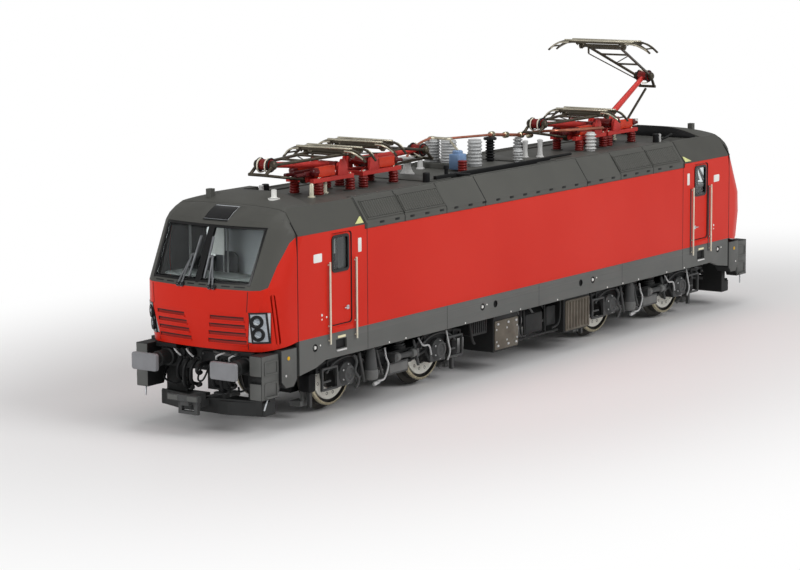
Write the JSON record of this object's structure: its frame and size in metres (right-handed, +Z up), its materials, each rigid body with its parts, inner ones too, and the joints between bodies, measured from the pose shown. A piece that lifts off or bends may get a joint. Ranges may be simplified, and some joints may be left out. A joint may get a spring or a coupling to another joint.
{
  "type": "scale model electric locomotive",
  "caption": "Scale model of a two-cab electric locomotive for 16.5 mm track, with turning bogies, swinging couplers and folding roof pantographs.",
  "frame": {"origin": "on the floor under the middle of the locomotive, at the lowest points of the wheel flanges", "axes": "+X to the front cab, +Y to the left side, +Z up"},
  "size_m": [0.2178, 0.0358, 0.0709],
  "materials": {
    "side_red": "satin traffic red lacquer",
    "roof_grey": "matt umbra grey",
    "band_grey": "matt grey",
    "frame_black": "matt moulded plastic",
    "screen_frame": "gloss black",
    "window_glass": "clear",
    "lamp_silver": "silver lacquer",
    "chassis_metal": "matt black",
    "box_brown": "matt grey brown",
    "buffer_grey": "satin",
    "cabin_grey": "matt",
    "rail_white": "satin",
    "wiper_dark": "satin",
    "pantograph_red": "satin red",
    "pantograph_dark": "satin",
    "contact_strip": "satin",
    "insulator_brown": "gloss",
    "insulator_grey": "satin",
    "bus_copper": "satin",
    "wheel_steel": "turned"
  },
  "bodies": {
    "locomotive_body": {"air_tanks": "frame_black", "cab_doors": "side_red", "cab_windows": "window_glass", "door_handrails": "rail_white", "front_buffers": "buffer_grey", "front_cab_hood": "roof_grey", "front_cab_interior": "cabin_grey", "front_end_casting": "band_grey", "front_nose_panel": "side_red", "front_windscreen_frame": "screen_frame", "head_lamps": "lamp_silver", "left_body_side": "side_red", "motor_block": "chassis_metal", "pantograph_bases": "pantograph_red", "pantograph_insulators": "insulator_brown", "rear_buffers": "buffer_grey", "rear_cab_hood": "roof_grey", "rear_cab_interior": "cabin_grey", "rear_end_casting": "band_grey", "rear_nose_panel": "side_red", "rear_windscreen_frame": "screen_frame", "right_body_side": "side_red", "roof_busbar": "bus_copper", "roof_fittings": "roof_grey", "roof_insulators": "insulator_grey", "roof_panels": "roof_grey", "side_bands": "band_grey", "switch_tray": "roof_grey", "underfloor_boxes": "box_brown", "underframe": "chassis_metal", "windscreen_wipers": "wiper_dark"},
    "front_bogie": {"front_bogie_frame": "frame_black", "front_bogie_fittings": "frame_black", "front_bogie_springs": "frame_black"},
    "front_outer_axle": {"front_outer_wheelset": "wheel_steel"},
    "front_inner_axle": {"front_inner_wheelset": "wheel_steel"},
    "front_draw_loop": {"front_coupler": "frame_black"},
    "rear_bogie": {"rear_bogie_frame": "frame_black", "rear_bogie_fittings": "frame_black", "rear_bogie_springs": "frame_black"},
    "rear_outer_axle": {"rear_outer_wheelset": "wheel_steel"},
    "rear_inner_axle": {"rear_inner_wheelset": "wheel_steel"},
    "rear_draw_loop": {"rear_coupler": "frame_black"},
    "front_outer_lower": {"front_outer_lower_arm": "pantograph_red"},
    "front_outer_upper": {"front_outer_upper_arm": "pantograph_dark"},
    "front_outer_head": {"front_outer_contact_head": "contact_strip"},
    "front_outer_rod": {"front_outer_control_rod": "pantograph_dark"},
    "front_inner_lower": {"front_inner_lower_arm": "pantograph_red"},
    "front_inner_upper": {"front_inner_upper_arm": "pantograph_dark"},
    "front_inner_head": {"front_inner_contact_head": "contact_strip"},
    "front_inner_rod": {"front_inner_control_rod": "pantograph_dark"},
    "rear_inner_lower": {"rear_inner_lower_arm": "pantograph_red"},
    "rear_inner_upper": {"rear_inner_upper_arm": "pantograph_dark"},
    "rear_inner_head": {"rear_inner_contact_head": "contact_strip"},
    "rear_inner_rod": {"rear_inner_control_rod": "pantograph_dark"},
    "rear_outer_lower": {"rear_outer_lower_arm": "pantograph_red"},
    "rear_outer_upper": {"rear_outer_upper_arm": "pantograph_dark"},
    "rear_outer_head": {"rear_outer_contact_head": "contact_strip"},
    "rear_outer_rod": {"rear_outer_control_rod": "pantograph_dark"}
  },
  "joints": [
    {"name": "front_bogie_swing", "type": "hinge", "parent": "locomotive_body", "child": "front_bogie", "pos_m": [0.0546, 0, 0.0179], "axis": [0, 0, 1], "range_deg": [-8, 8]},
    {"name": "front_outer_axle_roll", "type": "hinge", "parent": "front_bogie", "child": "front_outer_axle", "pos_m": [0.07185, 0, 0.0083], "axis": [0, 1, 0], "continuous": true},
    {"name": "front_inner_axle_roll", "type": "hinge", "parent": "front_bogie", "child": "front_inner_axle", "pos_m": [0.03735, 0, 0.0083], "axis": [0, 1, 0], "continuous": true},
    {"name": "front_coupler_swing", "type": "hinge", "parent": "locomotive_body", "child": "front_draw_loop", "pos_m": [0.096, 0, 0.0057], "axis": [0, 0, 1], "range_deg": [-12, 12]},
    {"name": "rear_bogie_swing", "type": "hinge", "parent": "locomotive_body", "child": "rear_bogie", "pos_m": [-0.0546, 0, 0.0179], "axis": [0, 0, -1], "range_deg": [-8, 8]},
    {"name": "rear_outer_axle_roll", "type": "hinge", "parent": "rear_bogie", "child": "rear_outer_axle", "pos_m": [-0.07185, 0, 0.0083], "axis": [0, 1, 0], "continuous": true},
    {"name": "rear_inner_axle_roll", "type": "hinge", "parent": "rear_bogie", "child": "rear_inner_axle", "pos_m": [-0.03735, 0, 0.0083], "axis": [0, 1, 0], "continuous": true},
    {"name": "rear_coupler_swing", "type": "hinge", "parent": "locomotive_body", "child": "rear_draw_loop", "pos_m": [-0.096, 0, 0.0057], "axis": [0, 0, -1], "range_deg": [-12, 12]},
    {"name": "front_outer_pantograph_lift", "type": "hinge", "parent": "locomotive_body", "child": "front_outer_lower", "pos_m": [0.0581, 0, 0.0504], "axis": [0, -1, 0], "range_deg": [0, 30]},
    {"name": "front_outer_knee", "type": "hinge", "parent": "front_outer_lower", "child": "front_outer_upper", "pos_m": [0.0803, 0, 0.05254], "axis": [0, -1, 0], "range_deg": [-59.8, 0]},
    {"name": "front_outer_head_tilt", "type": "hinge", "parent": "front_outer_upper", "child": "front_outer_head", "pos_m": [0.0578, 0, 0.05305], "axis": [0, -1, 0], "range_deg": [0, 29.8]},
    {"name": "front_outer_rod_foot", "type": "hinge", "parent": "locomotive_body", "child": "front_outer_rod", "pos_m": [0.0669, 0, 0.0481], "axis": [0, -1, 0], "range_deg": [0, 39.7]},
    {"name": "front_inner_pantograph_lift", "type": "hinge", "parent": "locomotive_body", "child": "front_inner_lower", "pos_m": [0.0464, 0, 0.0504], "axis": [0, 1, 0], "range_deg": [0, 30]},
    {"name": "front_inner_knee", "type": "hinge", "parent": "front_inner_lower", "child": "front_inner_upper", "pos_m": [0.0241, 0, 0.05079], "axis": [0, 1, 0], "range_deg": [-59.8, 0]},
    {"name": "front_inner_head_tilt", "type": "hinge", "parent": "front_inner_upper", "child": "front_inner_head", "pos_m": [0.04644, 0, 0.05353], "axis": [0, 1, 0], "range_deg": [0, 29.8]},
    {"name": "front_inner_rod_foot", "type": "hinge", "parent": "locomotive_body", "child": "front_inner_rod", "pos_m": [0.0376, 0, 0.0481], "axis": [0, 1, 0], "range_deg": [0, 39.7]},
    {"name": "rear_inner_pantograph_lift", "type": "hinge", "parent": "locomotive_body", "child": "rear_inner_lower", "pos_m": [-0.0488, 0, 0.0504], "axis": [0, -1, 0], "range_deg": [0, 30]},
    {"name": "rear_inner_knee", "type": "hinge", "parent": "rear_inner_lower", "child": "rear_inner_upper", "pos_m": [-0.0266, 0, 0.05254], "axis": [0, -1, 0], "range_deg": [-59.8, 0]},
    {"name": "rear_inner_head_tilt", "type": "hinge", "parent": "rear_inner_upper", "child": "rear_inner_head", "pos_m": [-0.0491, 0, 0.05305], "axis": [0, -1, 0], "range_deg": [0, 29.8]},
    {"name": "rear_inner_rod_foot", "type": "hinge", "parent": "locomotive_body", "child": "rear_inner_rod", "pos_m": [-0.04, 0, 0.0481], "axis": [0, -1, 0], "range_deg": [0, 39.7]},
    {"name": "rear_outer_pantograph_lift", "type": "hinge", "parent": "locomotive_body", "child": "rear_outer_lower", "pos_m": [-0.0581, 0, 0.0504], "axis": [0, 1, 0], "range_deg": [-22, 8]},
    {"name": "rear_outer_knee", "type": "hinge", "parent": "rear_outer_lower", "child": "rear_outer_upper", "pos_m": [-0.07788, 0, 0.0607], "axis": [0, 1, 0], "range_deg": [-16.1, 43.9]},
    {"name": "rear_outer_head_tilt", "type": "hinge", "parent": "rear_outer_upper", "child": "rear_outer_head", "pos_m": [-0.05718, 0, 0.06952], "axis": [0, 1, 0], "range_deg": [-21.9, 8.1]},
    {"name": "rear_outer_rod_foot", "type": "hinge", "parent": "locomotive_body", "child": "rear_outer_rod", "pos_m": [-0.0669, 0, 0.0481], "axis": [0, 1, 0], "range_deg": [-29.2, 10.7]}
  ],
  "couplings": [
    {"joint": "front_outer_knee", "follows": "front_outer_pantograph_lift", "ratio": -1.99},
    {"joint": "front_outer_head_tilt", "follows": "front_outer_pantograph_lift", "ratio": 0.99},
    {"joint": "front_outer_rod_foot", "follows": "front_outer_pantograph_lift", "ratio": 1.32},
    {"joint": "front_inner_knee", "follows": "front_inner_pantograph_lift", "ratio": -1.99},
    {"joint": "front_inner_head_tilt", "follows": "front_inner_pantograph_lift", "ratio": 0.99},
    {"joint": "front_inner_rod_foot", "follows": "front_inner_pantograph_lift", "ratio": 1.32},
    {"joint": "rear_inner_knee", "follows": "rear_inner_pantograph_lift", "ratio": -1.99},
    {"joint": "rear_inner_head_tilt", "follows": "rear_inner_pantograph_lift", "ratio": 0.99},
    {"joint": "rear_inner_rod_foot", "follows": "rear_inner_pantograph_lift", "ratio": 1.32},
    {"joint": "rear_outer_knee", "follows": "rear_outer_pantograph_lift", "ratio": -1.99},
    {"joint": "rear_outer_head_tilt", "follows": "rear_outer_pantograph_lift", "ratio": 0.99},
    {"joint": "rear_outer_rod_foot", "follows": "rear_outer_pantograph_lift", "ratio": 1.32}
  ]
}
